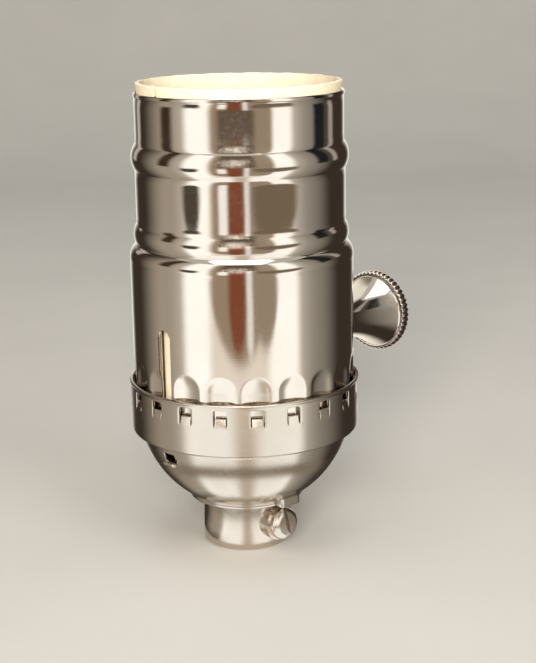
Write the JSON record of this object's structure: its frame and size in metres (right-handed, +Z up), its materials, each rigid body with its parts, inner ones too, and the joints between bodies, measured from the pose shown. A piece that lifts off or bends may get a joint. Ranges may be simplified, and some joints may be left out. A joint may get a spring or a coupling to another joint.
{
  "type": "lamp holder",
  "caption": "Turn-knob lamp holder for a medium screw-base lamp: drawn nickel-plated shell and cap, fibre liner, porcelain snap switch, threaded neck with set screw.",
  "frame": {"origin": "centre of the lower end of the neck, at the mouth of its pipe thread", "axes": "+Z up the lamp axis, from the neck to the mouth; +X along the knob's shaft, outwards; the shell's slit faces -X"},
  "size_m": [0.0542, 0.0368, 0.0748],
  "materials": {
    "polished_nickel": "polished nickel plate on brass",
    "satin_nickel": "satin nickel plate on brass",
    "screw_nickel": "nickel-plated screw",
    "fibre_liner": "raw cream fibre board",
    "dark_fibre": "dark vulcanised fibre",
    "red_fibre": "turned red vulcanised fibre",
    "porcelain": "white glazed porcelain",
    "brass": "bright stamped brass",
    "spring_bronze": "rolled phosphor bronze",
    "steel": "plain turned steel"
  },
  "bodies": {
    "holder": {"cap": "satin_nickel", "cap_liner": "dark_fibre", "neck_bushing": "satin_nickel", "shaft_bush": "brass", "detent_spring": "spring_bronze", "switch_base": "porcelain", "contact_base": "porcelain", "tie_screws": "steel", "line_terminal": "brass", "neutral_terminal": "brass", "load_strap": "brass", "line_screw": "brass", "neutral_screw": "screw_nickel", "screw_shell": "brass", "shell_rivets": "brass", "centre_contact": "spring_bronze", "contact_rivet": "brass"},
    "knob_group": {"knob": "polished_nickel", "switch_shaft": "steel", "switch_rotor": "red_fibre", "rotor_bridge": "brass", "rotor_collar": "red_fibre"},
    "set_screw": {"set_screw": "screw_nickel"},
    "shell": {"outer_shell": "polished_nickel", "shell_liner": "fibre_liner"}
  },
  "joints": [
    {"name": "knob_turn", "type": "hinge", "parent": "holder", "child": "knob_group", "pos_m": [0.0193, 0, 0.0321], "axis": [1, 0, 0], "continuous": true},
    {"name": "set_screw_run", "type": "slide", "parent": "holder", "child": "set_screw", "axis": [-0.1045, -0.9945, 0], "range_m": [0, 0.004]},
    {"name": "shell_lift", "type": "slide", "parent": "holder", "child": "shell", "axis": [0, 0, 1], "range_m": [0, 0.054]}
  ]
}
